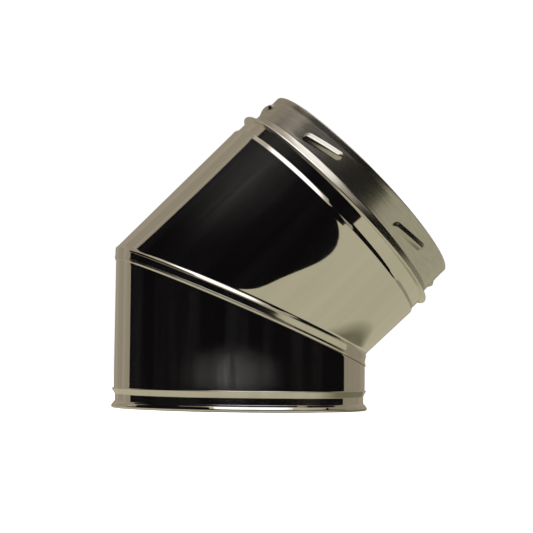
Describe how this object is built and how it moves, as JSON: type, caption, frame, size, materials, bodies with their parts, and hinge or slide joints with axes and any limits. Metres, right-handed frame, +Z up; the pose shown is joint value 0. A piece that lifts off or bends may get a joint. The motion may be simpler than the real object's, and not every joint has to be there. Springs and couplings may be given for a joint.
{
  "type": "flue elbow",
  "caption": "Insulated twin-wall stainless flue elbow with one mitre, a twist-lock collar on its upper end and a matching socket on its lower end.",
  "frame": {"origin": "centre of the lower end, on the plane that its rolled lip stands on", "axes": "+Z up along the lower leg, the upper leg leans from it towards +X, so the throat is on +X and the heel on -X"},
  "size_m": [0.2649, 0.2062, 0.2485],
  "materials": {
    "casing_steel": "bright-rolled stainless steel, mirror-like",
    "coupler_steel": "satin stainless steel",
    "liner_steel": "mill-finish stainless steel",
    "plate_steel": "mill-finish stainless steel",
    "weld_metal": "as welded, dull",
    "mineral_wool": "pressed mineral wool",
    "ceramic_fibre": "ceramic fibre board"
  },
  "bodies": {
    "root": {"lower_casing": "casing_steel", "upper_casing": "casing_steel", "upper_coupler": "coupler_steel", "lower_coupler": "coupler_steel", "lower_liner": "liner_steel", "upper_liner": "liner_steel", "liner_mitre_weld": "weld_metal", "lower_end_plate": "plate_steel", "upper_end_plate": "plate_steel", "lower_fibre_ring": "ceramic_fibre", "upper_fibre_ring": "ceramic_fibre", "lower_insulation": "mineral_wool", "upper_insulation": "mineral_wool", "lower_spacer_1": "plate_steel", "lower_spacer_2": "plate_steel", "lower_spacer_3": "plate_steel", "upper_spacer_1": "plate_steel", "upper_spacer_2": "plate_steel", "upper_spacer_3": "plate_steel"}
  },
  "joints": []
}
